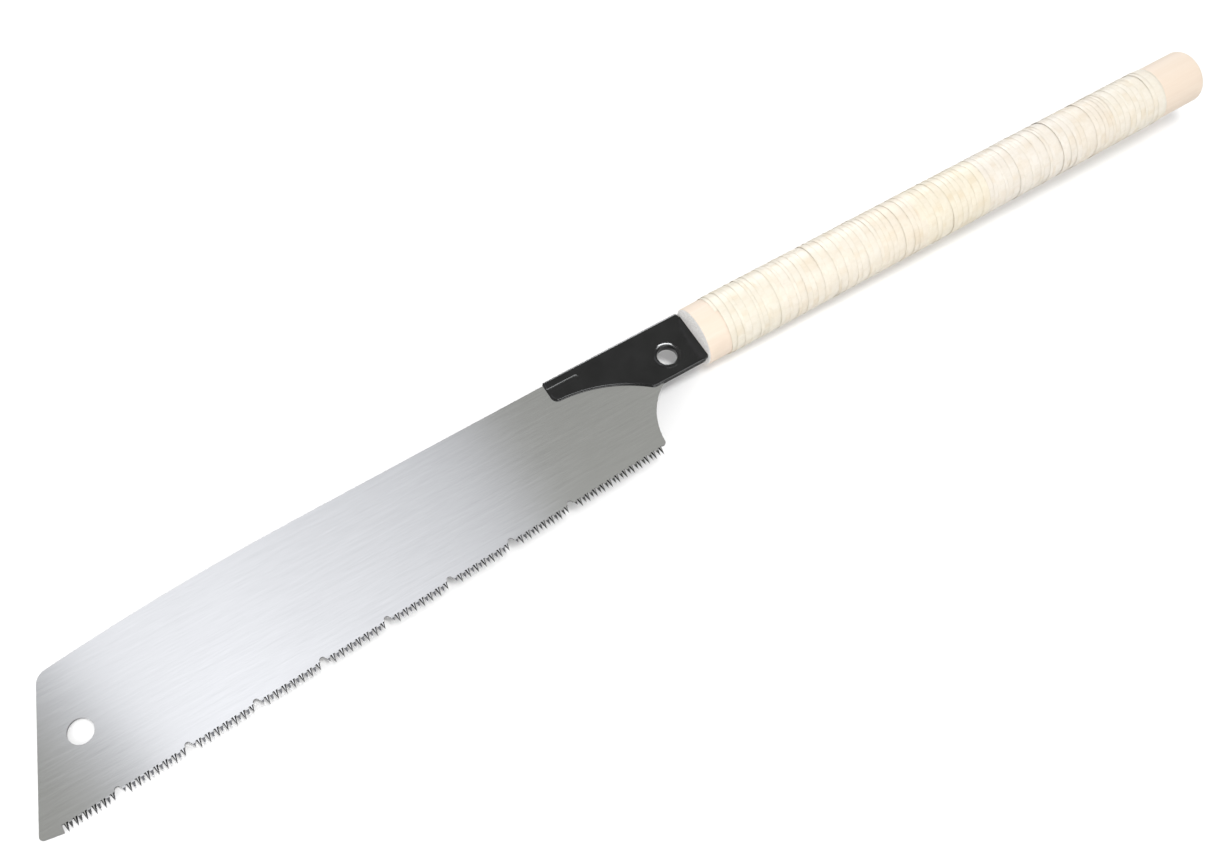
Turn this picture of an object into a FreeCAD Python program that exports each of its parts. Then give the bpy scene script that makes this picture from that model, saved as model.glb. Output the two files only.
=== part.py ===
import FreeCAD, Part
import math
import os

# Pull saw with a replaceable blade: single edge, crosscut teeth, long wrapped handle.
# Millimetres. Origin at the centre of the hollow rivet, on the blade's mid-plane.
# +X along the handle to its butt, +Y to the blade's back, +Z square to the blade.

os.makedirs("parts", exist_ok=True)
V = FreeCAD.Vector

# ---- blade: driving sizes ----
blade_t = 0.7
tooth_pitch = 1.832
teeth_in_toe = 11           # run of teeth before the first wide gullet
teeth_in_group = 14         # run between two wide gullets
teeth_in_heel = 24          # run after the last wide gullet
whole_groups = 7
gap_w = 2.75                # wide gullet, root to root
tooth_height = 3.6
tooth_set = 0.18            # sideways lean of each tooth tip
tooth_sunk = 0.02           # how far a tooth's base reaches into the plate
tooth_base = 0.88           # tooth's width at its root, in pitches
tooth_bevel = 0.5           # width of the two ground bevels on a tooth's inner face
gullet_r = 1.24
edge_slope = math.radians(3.46)   # the toothed edge closes on the handle's line
edge_end_x = -24.6          # where the last tooth ends
edge_depth = 37.8           # below the rivet's centre, at the last tooth
toe_plain = 9.6             # bare edge in front of the first tooth
toe_rise = 2.6              # how far the toe stands back from the tooth tips
tip_angle = math.radians(69.7)
back_level = 4.0            # the back runs level this far past the bracket's nose
back_fall = math.radians(0.56)    # then falls very slightly towards the tip
back_straight = 114.0       # length of that straight stretch
back_r = 965.0              # and bends down in one long arc
back_corner_r = 6.0
toe_corner_r = 1.6
heel_corner_r = 1.6
heel_arc_r = 29.8
tip_hole_r = 5.1
tip_hole_in = 16.8          # from the tip's edge, measured along the handle
tip_hole_up = 30.0          # above the toe corner
hook_wall = 2.6
hook_mouth = 1.2            # the mouth stops this far short of the barrel's far side
tail_past = 3.0             # the tail's end beyond the mouth

# ---- bracket and rivet: driving sizes ----
sheet = 1.0
fold_clear = 0.05           # blade to sheet, each side: a sliding fit
bracket_h = 25.9            # spine to lower edge, at the handle
nose_h = 10.7               # spine to lower edge, at the nose
nose_reach = 52.1           # rivet centre to the nose
rear_reach = 14.7           # rivet centre to the rear edge
s_curve_r = 60.0            # the lower rim's long curve behind the nose
s_curve_angle = math.radians(39.5)
nose_corner_r = 3.2
foot_corner_r = 4.0
rear_corner_r = 2.6
spine_round = 0.95
rim_round = 0.9
tang_h = 22.0
tang_depth = 47.0           # tang inside the wood
bead_r = 1.5
bead_h = 0.18
bead_drop = 5.2             # spine to the bead's line
bead_length = 13.5
rivet_bore_r = 4.3
rivet_wall = 0.6
rivet_lip = 1.3             # how far each flared lip reaches over the sheet
rivet_lip_h = 0.45
hook_clear = 0.05           # hook on the rivet's barrel: a running fit

# ---- handle: driving sizes ----
handle_rise = 2.3           # handle's centre line above the rivet's centre
handle_length = 279.0
seat_gap = 0.3              # bracket's rear edge to the wood's front face
core_front_r = 13.2
core_butt_r = 12.4
front_round = 0.5
butt_round = 2.4
tang_slot_clear = 0.05
bare_front = 9.1
bare_butt = 22.5
strip_t = 0.35
glue = 0.03
strip_turns = [11, 21, 9, 13, 22, 8, 13]

# ---- derived sizes ----
half_t = blade_t / 2
leaf_in = half_t + fold_clear
leaf_out = leaf_in + sheet
handle_front_x = rear_reach + seat_gap
handle_end_x = handle_front_x + handle_length
spine_y = handle_rise + bracket_h / 2 + 0.75
lower_y = spine_y - bracket_h
nose_y = spine_y - nose_h
back_y = spine_y - sheet - fold_clear
barrel_r = rivet_bore_r + rivet_wall
hook_r = barrel_r + hook_clear
group_pitch = teeth_in_group * tooth_pitch + gap_w
teeth_total = teeth_in_toe + whole_groups * teeth_in_group + teeth_in_heel
toothed_length = teeth_total * tooth_pitch + (whole_groups + 1) * gap_w


def line(a, b):
    return Part.LineSegment(V(a[0], a[1], 0), V(b[0], b[1], 0)).toShape()


def arc(a, m, b):
    return Part.Arc(V(a[0], a[1], 0), V(m[0], m[1], 0), V(b[0], b[1], 0)).toShape()


def polar(centre, radius, angle):
    return (centre[0] + radius * math.cos(angle), centre[1] + radius * math.sin(angle))


def plate(edges, z0, z1):
    face = Part.Face(Part.Wire(edges))
    face.translate(V(0, 0, z0))
    return face.extrude(V(0, 0, z1 - z0))


def upright_edges(shape, spots):
    """Edges that run along Z and stand at the given X, Y spots."""
    found = []
    for e in shape.Edges:
        a = e.Vertexes[0].Point
        b = e.Vertexes[-1].Point
        if math.hypot(a.x - b.x, a.y - b.y) > 1e-4 or abs(a.z - b.z) < 1e-4:
            continue
        if any(math.hypot(a.x - s[0], a.y - s[1]) < 0.05 for s in spots):
            found.append(e)
    return found


# ---- blade ----
along_x = math.cos(edge_slope)
edge_start_x = edge_end_x - toothed_length * along_x


def tip_line(x):
    return (x - edge_end_x) * math.tan(edge_slope) - edge_depth


def root_line(x):
    return tip_line(x) + tooth_height


# The tip is one slanted edge between the toe's corner and the back's corner.
toe_x = edge_start_x - toe_plain
toe = (toe_x, tip_line(toe_x) + toe_rise)
toe_end = (edge_start_x - 0.6, tip_line(edge_start_x) + 0.45)
toe_root = (toe_end[0] + 0.1, root_line(toe_end[0]))
heel_root = (edge_end_x, root_line(edge_end_x))

# The back is level under the bracket, falls slightly, then bends in one long arc to the tip.
level_end = (-nose_reach - back_level, back_y)
a_back = math.pi / 2 + back_fall
bend_start = polar(level_end, back_straight, math.pi + back_fall)
bend_c = polar(bend_start, back_r, a_back + math.pi)
# Where the arc meets the line of the tip's edge.
along = (math.cos(tip_angle), math.sin(tip_angle))
to_c = (bend_c[0] - toe[0], bend_c[1] - toe[1])
near = to_c[0] * along[0] + to_c[1] * along[1]
off = to_c[0] * along[1] - to_c[1] * along[0]
tip_edge = near + math.sqrt(back_r ** 2 - off ** 2)
tip_back = (toe[0] + tip_edge * along[0], toe[1] + tip_edge * along[1])
a_tip = math.atan2(tip_back[1] - bend_c[1], tip_back[0] - bend_c[0])
bend_mid = polar(bend_c, back_r, (a_back + a_tip) / 2)

# The heel is one hollow arc from the heel corner up to the hook.
heel_low = (edge_end_x + 2.4, root_line(edge_end_x) - 1.2)
heel_c = (heel_low[0] + heel_arc_r, heel_low[1])
prong_r = hook_r + hook_wall
heel_far = math.hypot(heel_c[0], heel_c[1])
reach = (heel_far ** 2 + prong_r ** 2 - heel_arc_r ** 2) / (2 * heel_far * prong_r)
a_join = math.atan2(heel_c[1], heel_c[0]) - math.acos(reach)
join = polar((0, 0), prong_r, a_join)
a_top = math.atan2(join[1] - heel_c[1], join[0] - heel_c[0])
heel_mid = polar(heel_c, heel_arc_r, (a_top + math.pi) / 2)

# The hook opens towards the butt, so the blade slides off forwards once it has swung out.
# Its tail is a round about the rivet, which lets the blade swing inside the fold.
mouth_x = hook_r - hook_mouth
prong_end = (mouth_x, -math.sqrt(prong_r ** 2 - mouth_x ** 2))
a_prong = math.atan2(prong_end[1], prong_end[0])
prong_mid = polar((0, 0), prong_r, (a_join + a_prong) / 2)
tail_x = mouth_x + tail_past
tail_end = (tail_x, math.sqrt(back_y ** 2 - tail_x ** 2))
a_tail = math.atan2(tail_end[1], tail_end[0])
tail_mid = polar((0, 0), back_y, (math.pi / 2 + a_tail) / 2)

outline = [
    line((0, back_y), level_end),
    line(level_end, bend_start),
    arc(bend_start, bend_mid, tip_back),
    line(tip_back, toe),
    line(toe, toe_end),
    line(toe_end, toe_root),
    line(toe_root, heel_root),
    line(heel_root, heel_low),
    arc(heel_low, heel_mid, join),
    arc(join, prong_mid, prong_end),
    line(prong_end, (mouth_x, -hook_r)),
    line((mouth_x, -hook_r), (0, -hook_r)),
    arc((0, -hook_r), (-hook_r, 0), (0, hook_r)),
    line((0, hook_r), (mouth_x, hook_r)),
    line((mouth_x, hook_r), tail_end),
    arc(tail_end, tail_mid, (0, back_y)),
]
blade = plate(outline, -half_t, half_t)
blade = blade.makeFillet(back_corner_r, upright_edges(blade, [tip_back]))
blade = blade.makeFillet(toe_corner_r, upright_edges(blade, [toe]))
blade = blade.makeFillet(heel_corner_r, upright_edges(blade, [heel_low]))
blade = blade.makeFillet(0.9, upright_edges(blade, [prong_end, tail_end]))


def drill(x, y, r, length):
    return Part.makeCylinder(r, length, V(x, y, -length / 2))


tip_hole_y = toe[1] + tip_hole_up
tip_hole_x = toe[0] + tip_hole_up / math.tan(tip_angle) + tip_hole_in
blade = blade.cut(drill(tip_hole_x, tip_hole_y, tip_hole_r, 4 * blade_t))


def tooth(s, height, side):
    """One tooth: its tip leans to one side, and its other face has two ground bevels."""
    x = edge_start_x + s * along_x
    x0 = x - tooth_base / 2 * tooth_pitch
    x1 = x + tooth_base / 2 * tooth_pitch
    tip_y = tip_line(x) + tooth_height - height
    tip = V(x, tip_y, side * (half_t + tooth_set))
    shy = V(x, tip_y + 0.35 * height, side * (0.65 * tooth_set - half_t))
    base0 = root_line(x0) + tooth_sunk
    base1 = root_line(x1) + tooth_sunk
    near0 = V(x0, base0, side * half_t)
    near1 = V(x1, base1, side * half_t)
    far0 = V(x0 + tooth_bevel, base0, -side * half_t)
    far1 = V(x1 - tooth_bevel, base1, -side * half_t)
    corners = [
        (near0, near1, far1), (near0, far1, far0), (near0, near1, tip), (far0, far1, shy),
        (near0, far0, tip), (far0, shy, tip), (near1, far1, tip), (far1, shy, tip),
    ]
    faces = [Part.Face(Part.makePolygon([a, b, c, a])) for a, b, c in corners]
    solid = Part.Solid(Part.makeShell(faces))
    if solid.Volume < 0:
        solid.reverse()
    return solid


# Runs of teeth: a short one at the toe, whole groups, and a long one at the heel.
runs = [(0.0, teeth_in_toe)]
s = teeth_in_toe * tooth_pitch + gap_w
for group in range(whole_groups):
    runs.append((s, teeth_in_group))
    s += group_pitch
runs.append((s, teeth_in_heel))

teeth = []
gullets = []
for n, (start, count) in enumerate(runs):
    for j in range(count):
        # The teeth beside a wide gullet are ground shorter.
        height = tooth_height
        if j == 0 and n > 0:
            height = 0.62 * tooth_height
        elif j == count - 1 and n < len(runs) - 1:
            height = 0.78 * tooth_height
        facing = count - j
        side = -1 if facing % 2 else 1
        teeth.append(tooth(start + (j + 0.5) * tooth_pitch, height, side))
    if n > 0:
        x = edge_start_x + (start - gap_w / 2) * along_x
        gullets.append(drill(x, root_line(x) + 0.1, gullet_r, 4 * blade_t))

blade = blade.cut(Part.makeCompound(gullets))
blade = blade.multiFuse(teeth)

# ---- bracket: one sheet folded over the blade's back, running on into the handle ----
nose = (-nose_reach, nose_y)
curve_c = (nose[0], nose_y - s_curve_r)
curve_mid = polar(curve_c, s_curve_r, math.pi / 2 - s_curve_angle / 2)
curve_end = polar(curve_c, s_curve_r, math.pi / 2 - s_curve_angle)
foot = (curve_end[0] + (curve_end[1] - lower_y) / math.tan(s_curve_angle), lower_y)
rear_low = (rear_reach, lower_y)
rear_top = (rear_reach, spine_y)

bracket = plate([
    line((nose[0], spine_y), nose),
    arc(nose, curve_mid, curve_end),
    line(curve_end, foot),
    line(foot, rear_low),
    line(rear_low, rear_top),
    line(rear_top, (nose[0], spine_y)),
], -leaf_out, leaf_out)
bracket = bracket.makeFillet(nose_corner_r, upright_edges(bracket, [nose]))
bracket = bracket.makeFillet(foot_corner_r, upright_edges(bracket, [foot]))
bracket = bracket.makeFillet(rear_corner_r, upright_edges(bracket, [rear_low]))

# The fold along the spine is round.
spine_edges = []
for e in bracket.Edges:
    box = e.BoundBox
    if box.ZLength < 1e-3 and box.YLength < 1e-3 and abs(box.YMin - spine_y) < 1e-3:
        spine_edges.append(e)
bracket = bracket.makeFillet(spine_round, spine_edges)

# The lower rim is rounded over on its outer edges, from the nose to the rear edge.
rim_edges = []
for e in bracket.Edges:
    box = e.BoundBox
    inside = box.XMin > nose[0] + 0.1 and box.XMax < rear_reach - 0.1
    if box.ZLength < 1e-3 and box.YMax < nose_y + 0.1 and inside:
        rim_edges.append(e)
bracket = bracket.makeFillet(rim_round, rim_edges)

tang_start = rear_reach - 2.0
tang_end = handle_front_x + tang_depth
tang_low = handle_rise - tang_h / 2
tang = Part.makeBox(
    tang_end - tang_start, tang_h, 2 * leaf_out, V(tang_start, tang_low, -leaf_out)
)
bracket = bracket.fuse(tang).removeSplitter()
fold_gap = Part.makeBox(
    tang_end + nose_reach + 2, bracket_h, 2 * leaf_in,
    V(nose[0] - 1, spine_y - sheet - bracket_h, -leaf_in),
)
bracket = bracket.cut(fold_gap)
bracket = bracket.cut(drill(0, 0, barrel_r, 4 * leaf_out))

# A shallow pressed bead stiffens each leaf at the nose, parallel to the spine.
bead_y = spine_y - bead_drop
bead_end = nose[0] + bead_length
ball_r = (bead_r ** 2 + bead_h ** 2) / (2 * bead_h)
for side in (1, -1):
    zc = side * (leaf_out + bead_h - ball_r)
    bar_start = V(nose[0] + 0.4, bead_y, zc)
    bar = Part.makeCylinder(ball_r, bead_length - 0.4, bar_start, V(1, 0, 0))
    bar = bar.fuse(Part.makeSphere(ball_r, V(bead_end, bead_y, zc)))
    low_z = leaf_out - 0.2 if side > 0 else -leaf_out - 2 * bead_h
    keep = Part.makeBox(40, 10, 0.2 + 2 * bead_h, V(nose[0], bead_y - 5, low_z))
    bracket = bracket.fuse(bar.common(keep))
bracket = bracket.removeSplitter()

# ---- hollow rivet: a plain bore, with a flared lip over each leaf ----
lip_r = barrel_r + rivet_lip
lip_z = leaf_out + rivet_lip_h
flare_r = rivet_bore_r + rivet_wall / 2
half = [
    (rivet_bore_r, leaf_out), (flare_r, lip_z), (barrel_r, lip_z),
    (lip_r, leaf_out + 0.08), (lip_r, leaf_out), (barrel_r, leaf_out),
]
profile = [V(r, 0, z) for r, z in half] + [V(r, 0, -z) for r, z in reversed(half)]
rivet = Part.Face(Part.makePolygon(profile + [profile[0]]))
rivet = rivet.revolve(V(0, 0, 0), V(0, 0, 1), 360)

# ---- handle: one tapered round stick with a slot for the tang ----
taper = (core_front_r - core_butt_r) / handle_length


def core_r(x):
    return core_front_r - (x - handle_front_x) * taper


def lathe(points):
    """Turn (x, radius) points about the handle's centre line."""
    ring = [V(x, handle_rise + r, 0) for x, r in points]
    face = Part.Face(Part.makePolygon(ring + [ring[0]]))
    return face.revolve(V(0, handle_rise, 0), V(1, 0, 0), 360)


def rim_at(shape, x):
    return [
        e for e in shape.Edges
        if abs(e.BoundBox.XMin - x) < 1e-3 and abs(e.BoundBox.XMax - x) < 1e-3
        and e.Length > 2 * core_butt_r
    ]


core = lathe([
    (handle_front_x, 0), (handle_front_x, core_front_r),
    (handle_end_x, core_butt_r), (handle_end_x, 0),
])
core = core.makeFillet(butt_round, rim_at(core, handle_end_x))
core = core.makeFillet(front_round, rim_at(core, handle_front_x))
slot = Part.makeBox(
    tang_depth + tang_slot_clear + 5, tang_h + 2 * tang_slot_clear,
    2 * (leaf_out + tang_slot_clear),
    V(handle_front_x - 5, tang_low - tang_slot_clear, -leaf_out - tang_slot_clear),
)
core = core.cut(slot)

# ---- wrap: seven strips, each a run of turns that overlap like shingles ----
wrap_start = handle_front_x + bare_front
turn_pitch = (handle_length - bare_front - bare_butt) / sum(strip_turns)
strips = []
xa = wrap_start
for turns in strip_turns:
    xb = xa + turns * turn_pitch
    skin = [(xa + glue, core_r(xa) + glue)]
    for i in range(turns):
        x0 = max(xa + i * turn_pitch, xa + glue)
        x1 = min(xa + (i + 1) * turn_pitch, xb - glue)
        skin.append((x0, core_r(x0) + glue + 2 * strip_t))
        skin.append((x1, core_r(x1) + glue + 1.3 * strip_t))
    skin.append((xb - glue, core_r(xb) + glue))
    strips.append(lathe(skin))
    xa = xb

nodes = {"blade": blade, "bracket": bracket, "hook_rivet": rivet, "handle_core": core}
for n, strip in enumerate(strips):
    nodes["wrap_strip_%d" % (n + 1)] = strip
for name, shape in nodes.items():
    shape.exportStep("parts/%s.step" % name)
print("toothed length", round(toothed_length, 1), "gullet pitch", round(group_pitch, 2))
print("tip hole", round(tip_hole_x, 2), round(tip_hole_y, 2), "turn pitch", round(turn_pitch, 3))
for name, shape in nodes.items():
    box = shape.BoundBox
    spans = (box.XMin, box.XMax, box.YMin, box.YMax, box.ZMin, box.ZMax)
    print(name, shape.isValid(), len(shape.Solids), round(shape.Volume, 1),
          [round(v, 1) for v in spans])
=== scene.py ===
# %% [markdown]
# # A pull saw with a replaceable blade
# The saw has one long thin blade, a black bracket folded over the blade's back, a hollow
# rivet that the blade hooks on, and a round wooden handle wound with thin pale strips.
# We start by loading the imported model. It is the fixed frame, so every piece that we
# make is put exactly where the frame says, in metres.

# %% Load the frame
import bpy
import bmesh
import math
import numpy as np
from mathutils import Vector, Matrix, noise


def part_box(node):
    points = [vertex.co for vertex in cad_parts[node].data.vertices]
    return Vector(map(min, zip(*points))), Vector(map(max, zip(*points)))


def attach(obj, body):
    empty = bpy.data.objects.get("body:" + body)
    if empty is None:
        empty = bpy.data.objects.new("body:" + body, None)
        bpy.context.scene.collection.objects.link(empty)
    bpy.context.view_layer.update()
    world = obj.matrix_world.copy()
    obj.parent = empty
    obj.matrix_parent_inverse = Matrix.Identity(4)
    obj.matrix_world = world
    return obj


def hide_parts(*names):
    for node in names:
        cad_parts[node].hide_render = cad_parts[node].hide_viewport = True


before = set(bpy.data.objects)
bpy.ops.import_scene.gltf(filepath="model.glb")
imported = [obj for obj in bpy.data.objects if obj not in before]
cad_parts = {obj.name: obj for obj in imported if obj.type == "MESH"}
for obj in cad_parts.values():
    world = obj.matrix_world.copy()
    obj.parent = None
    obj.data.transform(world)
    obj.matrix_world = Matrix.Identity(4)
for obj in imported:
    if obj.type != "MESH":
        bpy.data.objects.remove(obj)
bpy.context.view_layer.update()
mm = 0.001
scene = bpy.context.scene

# %% [markdown]
# Operators act on whatever is selected, so each step begins by letting go of everything.
# These small helpers pick one object, open it for editing, select faces or edges by a
# test on their place, and apply a modifier.

# %% Helpers for working by hand
def let_go():
    if bpy.context.object and bpy.context.object.mode != "OBJECT":
        bpy.ops.object.mode_set(mode="OBJECT")
    bpy.ops.object.select_all(action="DESELECT")


def take(piece):
    let_go()
    piece.select_set(True)
    bpy.context.view_layer.objects.active = piece


def settle(piece):
    """Put the piece's place, turn and scale into its mesh."""
    take(piece)
    bpy.ops.object.transform_apply(location=True, rotation=True, scale=True)


def choose(piece, kind, test):
    """In edit mode, select the vertices, edges or faces for which test(item) is true."""
    mesh = bmesh.from_edit_mesh(piece.data)
    bpy.ops.mesh.select_mode(type=kind)
    bpy.ops.mesh.select_all(action="DESELECT")
    items = {"VERT": mesh.verts, "EDGE": mesh.edges, "FACE": mesh.faces}[kind]
    count = 0
    for item in items:
        if test(item):
            item.select_set(True)
            count += 1
    mesh.select_flush_mode()
    bmesh.update_edit_mesh(piece.data)
    return count


def finish_modifier(piece, name):
    take(piece)
    bpy.ops.object.modifier_apply(modifier=name)


def name_piece(name):
    piece = bpy.context.object
    piece.name = name
    piece.data.name = name
    return piece


def dress(piece, material):
    piece.data.materials.clear()
    piece.data.materials.append(material)


# %% [markdown]
# ## Sizes that several pieces share
# The handle's wood is a round stick with a gentle taper. Its ends are read from the
# frame, and so is the height of its centre line above the rivet.

# %% Shared sizes
core_lo, core_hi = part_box("handle_core")
front_x = core_lo[0]
butt_x = core_hi[0]
axis_y = (core_lo[1] + core_hi[1]) / 2
front_r = (core_hi[1] - core_lo[1]) / 2
butt_r = front_r - 0.8 * mm


def core_r(x):
    return front_r + (butt_r - front_r) * (x - front_x) / (butt_x - front_x)


print("handle axis y %.2f mm, radius %.2f to %.2f mm" % (axis_y / mm, front_r / mm, butt_r / mm))

# %% [markdown]
# ## Finishes
# A small set of helpers builds node materials. Every pattern reads Object coordinates or
# the piece's own UV map, so it stays on the piece when the piece moves.

# %% Node helpers
def new_material(name):
    material = bpy.data.materials.new(name)
    material.use_nodes = True
    nodes = material.node_tree.nodes
    return material, nodes, material.node_tree.links, nodes["Principled BSDF"]


def add(nodes, kind, **values):
    node = nodes.new(kind)
    for key, value in values.items():
        if hasattr(node, key):
            setattr(node, key, value)
        else:
            node.inputs[key].default_value = value
    return node


def placed(nodes, links, scale, source="Object"):
    """Coordinates with their own scale along each axis."""
    coords = nodes.new("ShaderNodeTexCoord")
    mapping = nodes.new("ShaderNodeMapping")
    mapping.inputs["Scale"].default_value = scale
    links.new(coords.outputs[source], mapping.inputs["Vector"])
    return mapping.outputs["Vector"]


def ramp(nodes, links, value, stops):
    node = nodes.new("ShaderNodeValToRGB")
    bar = node.color_ramp
    while len(bar.elements) < len(stops):
        bar.elements.new(0.5)
    for element, (place, colour) in zip(bar.elements, stops):
        element.position = place
        element.color = (*colour, 1.0)
    links.new(value, node.inputs["Fac"])
    return node.outputs["Color"]


def mix(nodes, links, fac, a, b, kind="MIX"):
    node = nodes.new("ShaderNodeMix")
    node.data_type = "RGBA"
    node.blend_type = kind
    for socket, value in ((node.inputs[0], fac), (node.inputs[6], a), (node.inputs[7], b)):
        if hasattr(value, "links"):
            links.new(value, socket)
        else:
            socket.default_value = value
    return node.outputs[2]


def calc(nodes, links, kind, a, b=0.0, c=0.0):
    node = nodes.new("ShaderNodeMath")
    node.operation = kind
    for socket, value in zip(node.inputs, (a, b, c)):
        if hasattr(value, "links"):
            links.new(value, socket)
        else:
            socket.default_value = value
    return node.outputs[0]


# %% [markdown]
# ### Brushed steel
# The blade is bare spring steel, brushed along its length. The brushing is three layers
# of noise, stretched along the blade: they vary the brightness a little, the roughness,
# and the bump. The bevels ground on the teeth face sideways, so they are found by their
# normal, and made darker, as hardened teeth are. A tooth that leans out of the blade's
# face gets a painted shade: a dark band over its middle, for how the light falls on it,
# while the teeth that lean the other way keep the bright steel. It is found by its lean
# and by its height above the line of the tips.

# %% Steel for the blade
tip_slope = math.tan(math.radians(3.46))
tip_start = -37.8 * mm + 24.6 * mm * tip_slope
band_middle = 2.0 * mm
band_half = 0.95 * mm


def blade_steel():
    material, nodes, links, shader = new_material("brushed blade steel")
    fine = add(nodes, "ShaderNodeTexNoise", Scale=1.0, Detail=3.0, Roughness=0.6)
    links.new(placed(nodes, links, (110, 3000, 1)), fine.inputs["Vector"])
    broad = add(nodes, "ShaderNodeTexNoise", Scale=1.0, Detail=2.0, Roughness=0.5)
    links.new(placed(nodes, links, (35, 700, 1)), broad.inputs["Vector"])
    streak = calc(nodes, links, "MULTIPLY_ADD", fine.outputs["Fac"], 0.6,
                  calc(nodes, links, "MULTIPLY", broad.outputs["Fac"], 0.4))
    tone = ramp(nodes, links, streak,
                [(0.30, (0.565, 0.565, 0.562)), (0.70, (0.635, 0.635, 0.632))])
    geometry = nodes.new("ShaderNodeNewGeometry")
    parts = nodes.new("ShaderNodeSeparateXYZ")
    links.new(geometry.outputs["Normal"], parts.inputs[0])
    flat = calc(nodes, links, "ABSOLUTE", parts.outputs["Z"])
    ground = calc(nodes, links, "LESS_THAN", flat, 0.93)
    place = nodes.new("ShaderNodeSeparateXYZ")
    links.new(placed(nodes, links, (1, 1, 1)), place.inputs[0])
    above_tips = calc(nodes, links, "MULTIPLY_ADD", place.outputs["X"], -tip_slope,
                      calc(nodes, links, "SUBTRACT", place.outputs["Y"], tip_start))
    band = calc(nodes, links, "COMPARE", above_tips, band_middle, band_half)
    leaning = calc(nodes, links, "GREATER_THAN", parts.outputs["Y"], 0.03)
    # Painted shade: a dark band painted on the teeth that lean out, standing in for how the light
    # falls on them.
    leaning_teeth_painted_shade = calc(nodes, links, "MULTIPLY", band, leaning)
    shaded = mix(nodes, links, leaning_teeth_painted_shade, tone, (0.16, 0.16, 0.165, 1))
    colour = mix(nodes, links, ground, shaded, (0.09, 0.09, 0.095, 1))
    links.new(colour, shader.inputs["Base Color"])
    shader.inputs["Metallic"].default_value = 1.0
    rough = calc(nodes, links, "MULTIPLY_ADD", streak, 0.08, 0.09)
    links.new(rough, shader.inputs["Roughness"])
    bump = add(nodes, "ShaderNodeBump", Strength=0.12, Distance=0.00002)
    links.new(streak, bump.inputs["Height"])
    links.new(bump.outputs["Normal"], shader.inputs["Normal"])
    return material


steel = blade_steel()
blade_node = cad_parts["blade"]
dress(blade_node, steel)
print("blade faces:", len(blade_node.data.polygons))

# %% [markdown]
# ### Black paint
# The bracket is painted gloss black. Gloss paint on pressed sheet is never quite even:
# a fine orange peel lifts its surface, and handling leaves faint dull patches.

# %% Paint for the bracket and the rivet
def black_paint(name, wear):
    material, nodes, links, shader = new_material(name)
    peel = add(nodes, "ShaderNodeTexNoise", Scale=900.0, Detail=2.0, Roughness=0.5)
    links.new(placed(nodes, links, (1, 1, 1)), peel.inputs["Vector"])
    haze = add(nodes, "ShaderNodeTexNoise", Scale=90.0, Detail=4.0, Roughness=0.6)
    links.new(placed(nodes, links, (1, 1, 1)), haze.inputs["Vector"])
    colour = ramp(nodes, links, haze.outputs["Fac"],
                  [(0.35, (0.003, 0.003, 0.0035)), (0.70, (0.006, 0.006, 0.0065))])
    links.new(colour, shader.inputs["Base Color"])
    rough = calc(nodes, links, "MULTIPLY_ADD", haze.outputs["Fac"], 0.14, wear)
    links.new(rough, shader.inputs["Roughness"])
    bump = add(nodes, "ShaderNodeBump", Strength=0.05, Distance=0.00005)
    links.new(peel.outputs["Fac"], bump.inputs["Height"])
    links.new(bump.outputs["Normal"], shader.inputs["Normal"])
    return material


bracket_black = black_paint("gloss black paint", 0.10)
rivet_black = black_paint("worn black paint on the rivet", 0.06)
dress(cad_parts["bracket"], bracket_black)
print("paint made:", bracket_black.name, "and", rivet_black.name)

# %% [markdown]
# ### Bare wood
# The handle's stick is pale, fine-grained softwood with a peach tint. Its grain runs
# along the stick, so the growth lines are noise stretched along X. The sawn end across
# the grain is found by its normal and is greyer, with pores.

# %% Wood for the handle's stick
def bare_wood():
    material, nodes, links, shader = new_material("bare pale wood")
    lines = add(nodes, "ShaderNodeTexNoise", Scale=1.0, Detail=4.0, Roughness=0.6)
    links.new(placed(nodes, links, (9, 420, 420)), lines.inputs["Vector"])
    fibre = add(nodes, "ShaderNodeTexNoise", Scale=1.0, Detail=3.0, Roughness=0.7)
    links.new(placed(nodes, links, (110, 3200, 3200)), fibre.inputs["Vector"])
    grain = calc(nodes, links, "MULTIPLY_ADD", lines.outputs["Fac"], 0.6,
                 calc(nodes, links, "MULTIPLY", fibre.outputs["Fac"], 0.4))
    along = ramp(nodes, links, grain, [
        (0.28, (0.69, 0.57, 0.46)), (0.50, (0.72, 0.605, 0.495)), (0.72, (0.74, 0.635, 0.535))])
    pores = add(nodes, "ShaderNodeTexNoise", Scale=1500.0, Detail=4.0, Roughness=0.8)
    links.new(placed(nodes, links, (1, 1, 1)), pores.inputs["Vector"])
    ends = ramp(nodes, links, pores.outputs["Fac"], [
        (0.35, (0.60, 0.58, 0.56)), (0.52, (0.82, 0.80, 0.78)), (0.72, (0.93, 0.92, 0.91))])
    geometry = nodes.new("ShaderNodeNewGeometry")
    parts = nodes.new("ShaderNodeSeparateXYZ")
    links.new(geometry.outputs["Normal"], parts.inputs[0])
    cut = calc(nodes, links, "LESS_THAN", parts.outputs["X"], -0.85)
    links.new(mix(nodes, links, cut, along, ends), shader.inputs["Base Color"])
    shader.inputs["Roughness"].default_value = 0.62
    bump = add(nodes, "ShaderNodeBump", Strength=0.25, Distance=0.0001)
    links.new(grain, bump.inputs["Height"])
    links.new(bump.outputs["Normal"], shader.inputs["Normal"])
    return material


stick_wood = bare_wood()

# %% [markdown]
# ## The handle's stick
# A turned stick could be a spun outline, but a cylinder is nearer to how it starts: a
# blank that is tapered, then has its rims rounded. The slot for the bracket's tang is a
# saw cut, so it is taken out with a box and a Boolean.

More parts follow.
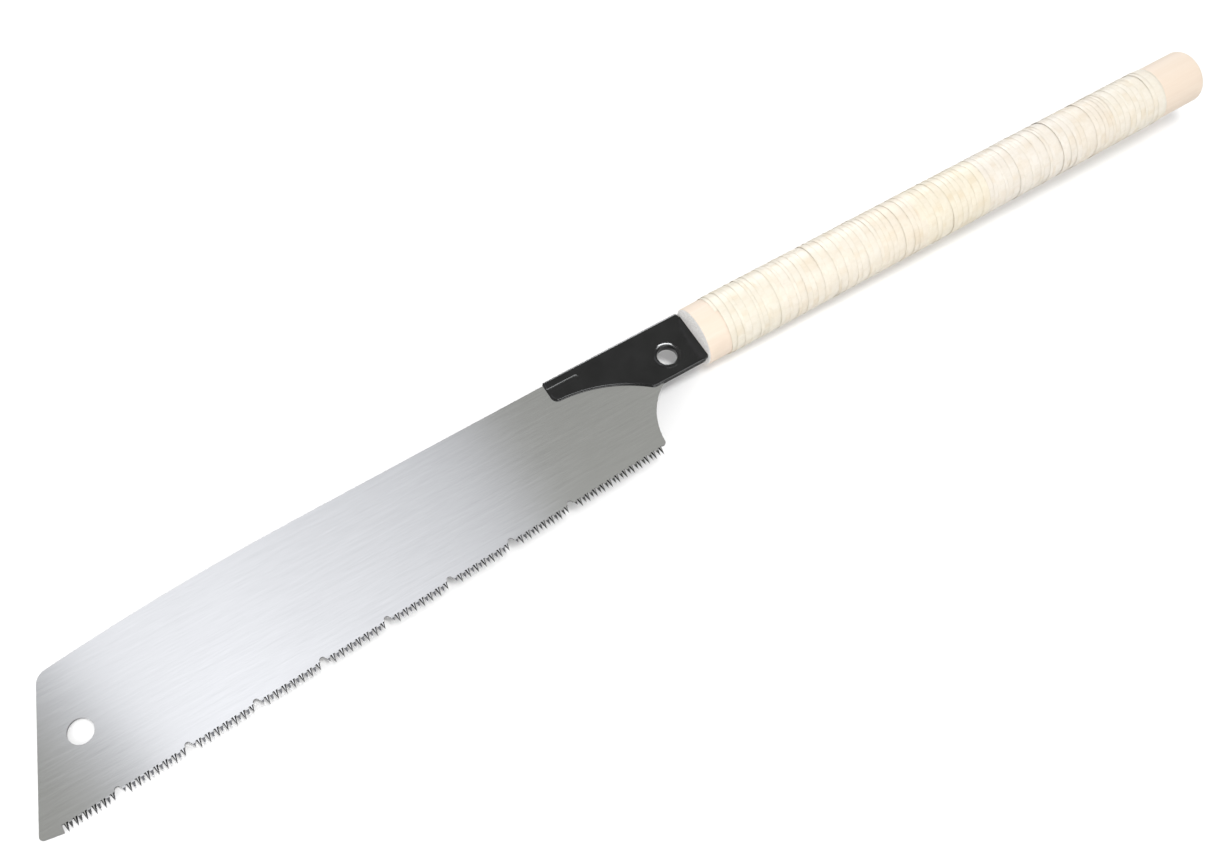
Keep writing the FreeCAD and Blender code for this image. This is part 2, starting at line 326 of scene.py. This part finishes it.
# %% Model the stick
front_round = 0.5 * mm
butt_round = 2.4 * mm
near = 0.01 * mm
length = butt_x - front_x
let_go()
bpy.ops.mesh.primitive_cylinder_add(
    vertices=128, radius=front_r, depth=length,
    location=((front_x + butt_x) / 2, axis_y, 0), rotation=(0, math.pi / 2, 0))
stick = name_piece("handle_stick")
settle(stick)
bpy.ops.object.mode_set(mode="EDIT")
choose(stick, "FACE", lambda f: f.normal.x > 0.9)
bpy.ops.transform.resize(value=(1, butt_r / front_r, butt_r / front_r),
                         center_override=(butt_x, axis_y, 0))
choose(stick, "EDGE", lambda e: all(v.co.x > butt_x - near for v in e.verts))
bpy.ops.mesh.bevel(offset=butt_round, segments=6, profile=0.5, affect="EDGES")
choose(stick, "EDGE", lambda e: all(v.co.x < front_x + near for v in e.verts))
bpy.ops.mesh.bevel(offset=front_round, segments=3, profile=0.5, affect="EDGES")
bpy.ops.object.mode_set(mode="OBJECT")
print("stick blank, mm long: %.1f" % (length / mm))

# %% [markdown]
# The bracket's tang goes 47 mm into the wood. The cutting box starts 10 mm in front of the
# stick, so that no thin skin is left over the slot's mouth.

# %% Cut the slot for the tang
slot_in = 47 * mm
slot_out = 10 * mm
slot_h = 22.1 * mm
slot_w = 2.9 * mm
let_go()
bpy.ops.mesh.primitive_cube_add(
    size=1, location=(front_x + (slot_in - slot_out) / 2, axis_y, 0),
    scale=(slot_in + slot_out, slot_h, slot_w))
saw_cut = bpy.context.object
settle(saw_cut)
take(stick)
cut = stick.modifiers.new("tang slot", "BOOLEAN")
cut.object = saw_cut
cut.operation = "DIFFERENCE"
finish_modifier(stick, "tang slot")
bpy.data.objects.remove(saw_cut)
take(stick)
bpy.ops.object.shade_smooth_by_angle(angle=math.radians(35))
dress(stick, stick_wood)
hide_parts("handle_core")
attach(stick, "saw_handle")
print("stick faces:", len(stick.data.polygons))

# %% [markdown]
# ## The hollow rivet
# A hollow rivet is a short tube whose two ends are rolled over the sheet. We draw half of
# its wall as a closed loop, spin it round the rivet's axis, and merge the seam.

# %% Model the rivet
_, rivet_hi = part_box("hook_rivet")
lip_r = rivet_hi[0]
lip_z = rivet_hi[2]
bore_r = 4.3 * mm
barrel_r = 4.9 * mm
lip_h = 0.45 * mm
flare = 0.55 * mm
flare_h = 0.75 * mm
sink = 0.02 * mm
sheet_z = lip_z - lip_h
wall = []
for k in range(6):
    a = math.radians(180 - 18 * k)
    wall.append((bore_r + flare + flare * math.cos(a), sheet_z - 0.3 * mm + flare_h * math.sin(a)))
top_r = bore_r + 0.75 * mm
wall.append((top_r, sheet_z + 0.44 * mm))
dome_steps = 6
for k in range(1, dome_steps + 1):
    out = k / dome_steps
    fall = math.cos(out * math.pi / 2) * 0.6 + (1 - out) * 0.4
    wall.append((top_r + (lip_r - top_r) * out, sheet_z + sink + 0.41 * mm * fall))
wall.append((lip_r, sheet_z - sink))
wall.append((barrel_r, sheet_z - sink))
loop = wall + [(r, -z) for r, z in reversed(wall)]
let_go()
bpy.ops.mesh.primitive_circle_add(vertices=len(loop), radius=barrel_r,
                                  rotation=(math.pi / 2, 0, 0))
rivet = name_piece("hollow_rivet")
settle(rivet)
for vertex, (r, z) in zip(rivet.data.vertices, loop):
    vertex.co = (r, 0, z)
bpy.ops.object.mode_set(mode="EDIT")
bpy.ops.mesh.select_all(action="SELECT")
bpy.ops.mesh.spin(steps=96, angle=2 * math.pi, center=(0, 0, 0), axis=(0, 0, 1))
bpy.ops.mesh.select_all(action="SELECT")
bpy.ops.mesh.remove_doubles(threshold=0.00001)
bpy.ops.mesh.normals_make_consistent(inside=False)
bpy.ops.object.mode_set(mode="OBJECT")
bpy.ops.object.shade_smooth()
dress(rivet, rivet_black)
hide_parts("hook_rivet")
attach(rivet, "saw_handle")
print("rivet faces:", len(rivet.data.polygons))

# %% [markdown]
# ## The wound strips
# Each strip is a thin split band, wound round the stick so that every turn overlaps the
# one before. A Screw modifier sweeps a closed section into the turns. A machine-perfect
# screw would look wrong, because a hand never lays two turns alike, so the swept points
# are then laid again: the same order, but with uneven spacing, width and tilt.

# %% Sizes of the winding
strip_t = 0.15 * mm
strip_w = 5.2 * mm
clearance = 0.02 * mm
steps = 72
# How far a hand lets the spacing, the width and the edge of a strip stray.
slow_drift = 2.3 * mm
quick_drift = 0.5 * mm
width_drift = 0.9 * mm
edge_fray = 0.25 * mm
edge_lift = 0.24 * mm
wrap_lo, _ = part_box("wrap_strip_1")
_, wrap_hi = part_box("wrap_strip_7")
all_turns = [11, 21, 9, 13, 22, 8, 13]
pitch = (wrap_hi[0] - wrap_lo[0]) / sum(all_turns)
# Where each strip's cut end lies, in degrees from the top of the handle towards the back.
end_angle = [-2, 178, 120, -36, 26, 150, 205]
# The strip's cross-section: across its width, and up through its thickness.
section = [(0.0, 0.25), (0.0, 0.75), (0.03, 1.0), (0.35, 1.06), (0.7, 1.04), (0.98, 0.9),
           (1.0, 0.3), (0.7, 0.0), (0.35, 0.0), (0.03, 0.0)]
print("turns", sum(all_turns), "at %.2f mm" % (pitch / mm))

# %% [markdown]
# ### How a turn lies
# Smooth noise gives each strip its own slow drift. Every turn lies on the tail of the turn
# before, like a shingle, so it rises towards its front edge, and here and there that edge
# lifts a little more. The first turn of the first strip starts flat on the wood.

# %% Lay the swept points again
def wander(place, seed, reach):
    return reach * noise.noise(Vector((place, seed * 7.31, 0.5)))


def lay_turns(points, count, x0, angle0, seed, turns, first):
    """Lay the swept section's points along an uneven winding.

    The one turn past the strip's own run dives under the next strip, which holds it down."""
    uv = []
    for s in range(count // len(section)):
        turn = s / steps
        phi = angle0 + 2 * math.pi * turn
        ease = min(1.0, turn / 0.8) * max(0.0, min(1.0, (turns - turn) / 0.8 + 0.15))
        x = x0 + pitch * turn + ease * (wander(turn * 0.83, seed, slow_drift)
                                        + wander(turn * 2.9, seed + 3, quick_drift))
        width = (strip_w + wander(turn * 0.6, seed + 5, width_drift)
                 + wander(turn * 11, seed + 7, edge_fray))
        lift = max(0.0, wander(turn * 3.7, seed + 9, edge_lift))
        climb = min(1.0, turn) if first else 1.0
        climb *= 1.0 - 0.6 * max(0.0, turn - turns)
        for k, (across, up) in enumerate(section):
            px = x + across * width
            shingle = (width / pitch) * (1.0 - across) * strip_t * climb
            edge = lift * max(0.0, 1.0 - across * 4)
            r = core_r(px) + clearance + shingle + edge + up * strip_t
            i = s * len(section) + k
            points[i] = (px, axis_y + r * math.sin(phi), r * math.cos(phi))
            uv.append((turn * 2 * math.pi * core_r(px), across * width))
    return uv


# %% [markdown]
# ### One strip
# The section starts as a small ring, the Screw modifier sweeps it into the turns, and the
# points are laid again. The two open ends are then filled, which closes the band.

# %% Wind one strip
def wind_strip(number, x0, turns, angle0, extra):
    let_go()
    bpy.ops.mesh.primitive_circle_add(vertices=len(section), radius=1 * mm,
                                      location=(0, 0, front_r), rotation=(math.pi / 2, 0, 0))
    strip = name_piece("strip_%d_wound" % number)
    settle(strip)
    sweep = strip.modifiers.new("turns", "SCREW")
    sweep.axis = "X"
    sweep.angle = 2 * math.pi
    sweep.screw_offset = pitch
    sweep.iterations = turns + extra
    sweep.steps = steps
    sweep.render_steps = steps
    finish_modifier(strip, "turns")
    mesh = strip.data
    points = np.empty((len(mesh.vertices), 3))
    uv = lay_turns(points, len(mesh.vertices), x0, angle0, number * 11.0, turns, number == 1)
    mesh.vertices.foreach_set("co", points.ravel())
    layer = mesh.uv_layers.new(name="along the strip")
    corners = np.empty(len(mesh.loops), dtype=np.int64)
    mesh.loops.foreach_get("vertex_index", corners)
    layer.data.foreach_set("uv", np.array(uv)[corners].ravel())
    take(strip)
    bpy.ops.object.mode_set(mode="EDIT")
    bpy.ops.mesh.select_mode(type="EDGE")
    bpy.ops.mesh.select_all(action="DESELECT")
    bpy.ops.mesh.select_non_manifold(extend=False)
    bpy.ops.mesh.edge_face_add()
    bpy.ops.mesh.select_all(action="SELECT")
    bpy.ops.mesh.normals_make_consistent(inside=False)
    bpy.ops.object.mode_set(mode="OBJECT")
    bpy.ops.object.shade_smooth_by_angle(angle=math.radians(40))
    return strip


# %% [markdown]
# ### Split-strip finish
# A split strip has fine fibres along its length, so its pattern reads the strip's own UV
# map: fast across the strip, slow along it. A second, very slow noise shifts the tint
# from turn to turn, and a broad one raises low ridges. Each strip was split from another
# stick, so each has its own base colour.

# %% Finish for one strip
def strip_finish(number, base):
    material, nodes, links, shader = new_material("split strip %d" % number)
    fibres = add(nodes, "ShaderNodeTexNoise", Scale=1.0, Detail=3.0, Roughness=0.65)
    links.new(placed(nodes, links, (45, 2600, 1), "UV"), fibres.inputs["Vector"])
    tints = add(nodes, "ShaderNodeTexNoise", Scale=1.0, Detail=2.0, Roughness=0.5)
    links.new(placed(nodes, links, (9, 60, 1), "UV"), tints.inputs["Vector"])
    dark = tuple(c * f for c, f in zip(base, (0.96, 0.92, 0.86)))
    pale = tuple(min(1.0, c * f) for c, f in zip(base, (1.02, 1.03, 1.05)))
    tint = ramp(nodes, links, tints.outputs["Fac"], [(0.32, dark), (0.5, base), (0.68, pale)])
    line = ramp(nodes, links, fibres.outputs["Fac"],
                [(0.30, (0.94, 0.92, 0.88)), (0.55, (1, 1, 1))])
    colour = mix(nodes, links, fibre_colour_share, tint, line, "MULTIPLY")
    links.new(colour, shader.inputs["Base Color"])
    shader.inputs["Roughness"].default_value = 0.5
    shader.inputs["Specular IOR Level"].default_value = 0.35
    ridges = add(nodes, "ShaderNodeTexNoise", Scale=1.0, Detail=2.0, Roughness=0.55)
    links.new(placed(nodes, links, (14, 430, 1), "UV"), ridges.inputs["Vector"])
    broad = add(nodes, "ShaderNodeBump", Strength=0.7, Distance=0.0003)
    links.new(ridges.outputs["Fac"], broad.inputs["Height"])
    bump = add(nodes, "ShaderNodeBump", Strength=0.35, Distance=0.00006)
    links.new(fibres.outputs["Fac"], bump.inputs["Height"])
    links.new(broad.outputs["Normal"], bump.inputs["Normal"])
    links.new(bump.outputs["Normal"], shader.inputs["Normal"])
    return material


fibre_colour_share = 0.7
strip_colours = [
    (0.71, 0.66, 0.56), (0.72, 0.665, 0.57), (0.715, 0.65, 0.545), (0.72, 0.66, 0.54),
    (0.71, 0.66, 0.585), (0.71, 0.65, 0.56), (0.72, 0.67, 0.58)]

# %% [markdown]
# ### The whole winding
# The strips follow each other from the blade's end to the butt. Each one runs a turn past
# its own end and dives under the next, which holds it down. The last one instead stops
# two turns early, because its width reaches the end of the wrap.

# %% Wind the seven strips
x = wrap_lo[0]
for number, turns in enumerate(all_turns, 1):
    extra = 1 if number < len(all_turns) else -2
    strip = wind_strip(number, x, turns, math.radians(end_angle[number - 1]), extra)
    dress(strip, strip_finish(number, strip_colours[number - 1]))
    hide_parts("wrap_strip_%d" % number)
    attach(strip, "saw_handle")
    x += turns * pitch
    print(strip.name, "turns", turns, "faces", len(strip.data.polygons))

# %% [markdown]
# ## Floor, light and camera
# The saw lies on its side on a pale floor. Its handle is thick and its blade thin, so the
# floor meets the blade at the toe and the wrap at its front end: in the saw's own frame
# that floor is slightly tilted.

# %% Lay the floor
toe = Vector((-298.5 * mm, -52.5 * mm, -0.55 * mm))
under = Vector((27 * mm, axis_y, -core_r(27 * mm) - 0.95 * mm))
up = (under - toe).cross(Vector((0, 1, 0))).normalized()
if up.z < 0:
    up = -up
let_go()
bpy.ops.mesh.primitive_grid_add(x_subdivisions=24, y_subdivisions=24, size=8.0)
floor = name_piece("floor")
turn = up.to_track_quat("Z", "Y").to_matrix().to_4x4()
floor.data.transform(Matrix.Translation(under) @ turn)
floor_paint, nodes, links, shader = new_material("pale floor")
shader.inputs["Base Color"].default_value = (0.80, 0.80, 0.80, 1)
shader.inputs["Roughness"].default_value = 0.9
shader.inputs["Specular IOR Level"].default_value = 0.1
shader.inputs["Emission Color"].default_value = (1.0, 1.0, 1.0, 1)
shader.inputs["Emission Strength"].default_value = 0.10
dress(floor, floor_paint)
print("floor tilt, degrees: %.2f" % math.degrees(up.angle(Vector((0, 0, 1)))))

# %% [markdown]
# ### Light
# The light is an even tent. Metal and gloss paint look only as good as what they mirror,
# so the world is split by Light Path: mirror rays see a calmer grey sky, and all other
# rays see the white tent.

# %% The tent and the sky
world = bpy.data.worlds.new("soft studio")
scene.world = world
world.use_nodes = True
nodes = world.node_tree.nodes
links = world.node_tree.links
tent = nodes["Background"]
tent.inputs[0].default_value = (0.72, 0.72, 0.72, 1)
sky = nodes.new("ShaderNodeBackground")
sky.inputs[0].default_value = (0.492, 0.497, 0.470, 1)
rays = nodes.new("ShaderNodeLightPath")
blend = nodes.new("ShaderNodeMixShader")
links.new(rays.outputs["Is Glossy Ray"], blend.inputs[0])
links.new(tent.outputs[0], blend.inputs[1])
links.new(sky.outputs[0], blend.inputs[2])
links.new(blend.outputs[0], nodes["World Output"].inputs["Surface"])
print("world:", world.name)

# %% [markdown]
# ### Two lamps
# The key hangs almost straight overhead, leaning a little to the toothed side, so the
# handle's shadow stays narrow. The fill comes from beyond the tip and lights the sawn end
# of the stick. Mirrors don't see either lamp.

# %% Lamps
def soft_box(name, place, aim, size, power):
    lamp = bpy.data.lights.new(name, "AREA")
    lamp.shape = "RECTANGLE"
    lamp.size, lamp.size_y = size
    lamp.energy = power
    holder = bpy.data.objects.new(name, lamp)
    scene.collection.objects.link(holder)
    holder.location = place
    direction = Vector(aim) - Vector(place)
    holder.rotation_euler = direction.to_track_quat("-Z", "Y").to_euler()
    holder.visible_glossy = False
    print(name, "at", place)


soft_box("key light", (0.05, -0.32, 1.55), (0.05, 0, 0), (0.4, 0.4), 14)
soft_box("fill light", (-1.4, -0.5, 0.8), (0.0, 0, 0), (0.8, 0.6), 8)

# %% [markdown]
# ### Panels for the mirrors
# Four glowing panels show only in reflections. The large one over the blade is bright over
# the blade's middle and fades at both ends. The small ones draw the highlights on the
# bracket's bead, spine and lower rim, and the bright arc on the rivet's lip.

# %% How a panel is made and toned
def mirror_panel(name, size, place, aim, tone):
    """A glowing panel that only mirror rays can see."""
    let_go()
    bpy.ops.mesh.primitive_grid_add(x_subdivisions=40, y_subdivisions=8, size=1.0)
    panel = name_piece(name)
    panel.scale = (size[0], size[1], 1)
    direction = Vector(aim) - Vector(place)
    panel.rotation_euler = direction.to_track_quat("-Z", "Y").to_euler()
    panel.location = place
    settle(panel)
    glow, nodes, links, shader = new_material(name + " glow")
    nodes.remove(shader)
    emit = nodes.new("ShaderNodeEmission")
    links.new(emit.outputs[0], nodes["Material Output"].inputs["Surface"])
    tone(nodes, links, emit)
    dress(panel, glow)
    panel.visible_camera = False
    panel.visible_diffuse = False
    panel.visible_shadow = False
    print(name, "made")


def blade_tone(nodes, links, emit):
    """Bright over the blade's middle, fading to the grey of the sky at both ends."""
    coords = nodes.new("ShaderNodeTexCoord")
    parts = nodes.new("ShaderNodeSeparateXYZ")
    links.new(coords.outputs["Object"], parts.inputs[0])
    # Near the tip the fade leans, as the tent's own edge does.
    near_tip = calc(nodes, links, "MULTIPLY_ADD", parts.outputs["X"], -8.0, -2.2)
    near_tip = calc(nodes, links, "MINIMUM", calc(nodes, links, "MAXIMUM", near_tip, 0.0), 1.0)
    lean = calc(nodes, links, "MULTIPLY", near_tip,
                calc(nodes, links, "MULTIPLY_ADD", parts.outputs["Y"], 0.35, -0.128))
    along = calc(nodes, links, "ADD", lean,
                 calc(nodes, links, "ADD", parts.outputs["X"], 0.6))
    stops = [
        (-0.56, 0.455), (-0.484, 0.46), (-0.44, 0.74), (-0.421, 0.83), (-0.405, 1.0),
        (-0.387, 1.34), (-0.36, 1.43), (-0.303, 1.43),
        (-0.245, 1.42), (-0.186, 1.32), (-0.128, 1.25), (-0.069, 1.18), (-0.01, 1.09),
        (0.048, 0.98), (0.107, 0.75), (0.132, 0.53), (0.166, 0.50), (0.30, 0.495)]
    tones = []
    for place, level in stops:
        cool = max(0.0, min(1.0, (level - 0.51) / 0.3))
        red = level * (0.99 - 0.005 * cool)
        blue = level * (0.95 + 0.10 * cool)
        tones.append((place + 0.6, (red, level, blue)))
    colour = ramp(nodes, links, along, tones)
    links.new(colour, emit.inputs["Color"])
    slope = calc(nodes, links, "MULTIPLY_ADD", parts.outputs["Y"], -0.65, 1.28)
    links.new(slope, emit.inputs["Strength"])


def even_tone(level):
    def tone(nodes, links, emit):
        emit.inputs["Color"].default_value = (0.97, 0.985, 1.0, 1)
        emit.inputs["Strength"].default_value = level
    return tone


# %% [markdown]
# Each panel has its size, its place and the point that it faces, all in metres.

# %% Hang the panels
saw_middle = (0, 0, 0)
mirror_panel("overhead_panel", (0.86, 0.7), (-0.13, 0.42, 1.0), (-0.13, 0.42, 0), blade_tone)
mirror_panel("far_panel", (0.8, 0.34), (0.55, 0.98, 0.80), saw_middle, even_tone(9.0))
mirror_panel("low_panel", (0.7, 0.30), (0.62, 1.10, 0.42), saw_middle, even_tone(24.0))
mirror_panel("near_panel", (1.3, 0.34), (0.1, -0.90, 0.95), saw_middle, even_tone(9.0))

# %% [markdown]
# ### Camera
# The camera looks steeply down over the toothed side of the saw. Its three directions are
# written out, and a matrix made of them turns it exactly.

# %% Camera
right = Vector((0.85106, -0.524886, 0.013833))
down = Vector((-0.462958, -0.762557, -0.451859))
forward = Vector((0.247723, 0.378155, -0.891982))
lens = bpy.data.cameras.new("camera")
lens.sensor_width = 36.0
lens.lens = 41.886
lens.clip_start = 0.01
camera = bpy.data.objects.new("camera", lens)
scene.collection.objects.link(camera)
pose = Matrix((right, -down, -forward)).transposed().to_4x4()
camera.matrix_world = Matrix.Translation((-0.184397, -0.237100, 0.517604)) @ pose
scene.camera = camera
scene.view_settings.view_transform = "Standard"
print("camera at", [round(v, 3) for v in camera.location])
